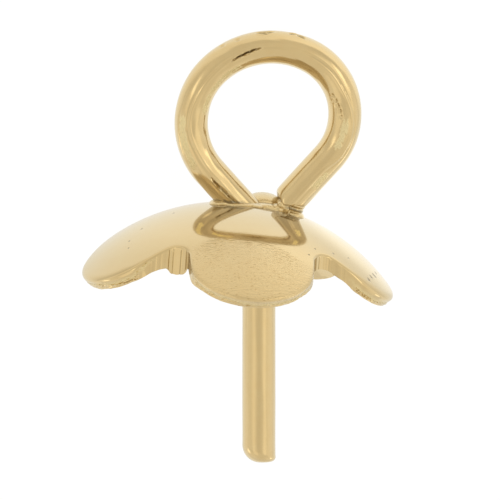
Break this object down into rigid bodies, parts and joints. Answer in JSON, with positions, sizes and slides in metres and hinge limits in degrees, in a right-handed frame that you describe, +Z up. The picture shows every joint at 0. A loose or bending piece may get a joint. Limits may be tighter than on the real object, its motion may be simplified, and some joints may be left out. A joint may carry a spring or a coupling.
{
  "type": "bail finding",
  "caption": "Peg bail: a wire eye soldered on a domed petal cap, with a peg underneath that is glued in a half-drilled bead or pearl.",
  "frame": {"origin": "on the table, under the middle of the finding as it lies", "axes": "+Z is up from the table, +Y runs along the finding from the peg's free end to the eye, +X is to the right of one who looks down on it with the eye ahead"},
  "size_m": [0.0076, 0.0093, 0.0066],
  "materials": {
    "gold": "polished pale gold plating with fine pits and scratches"
  },
  "bodies": {
    "root": {"peg_bail": "gold"}
  },
  "joints": []
}
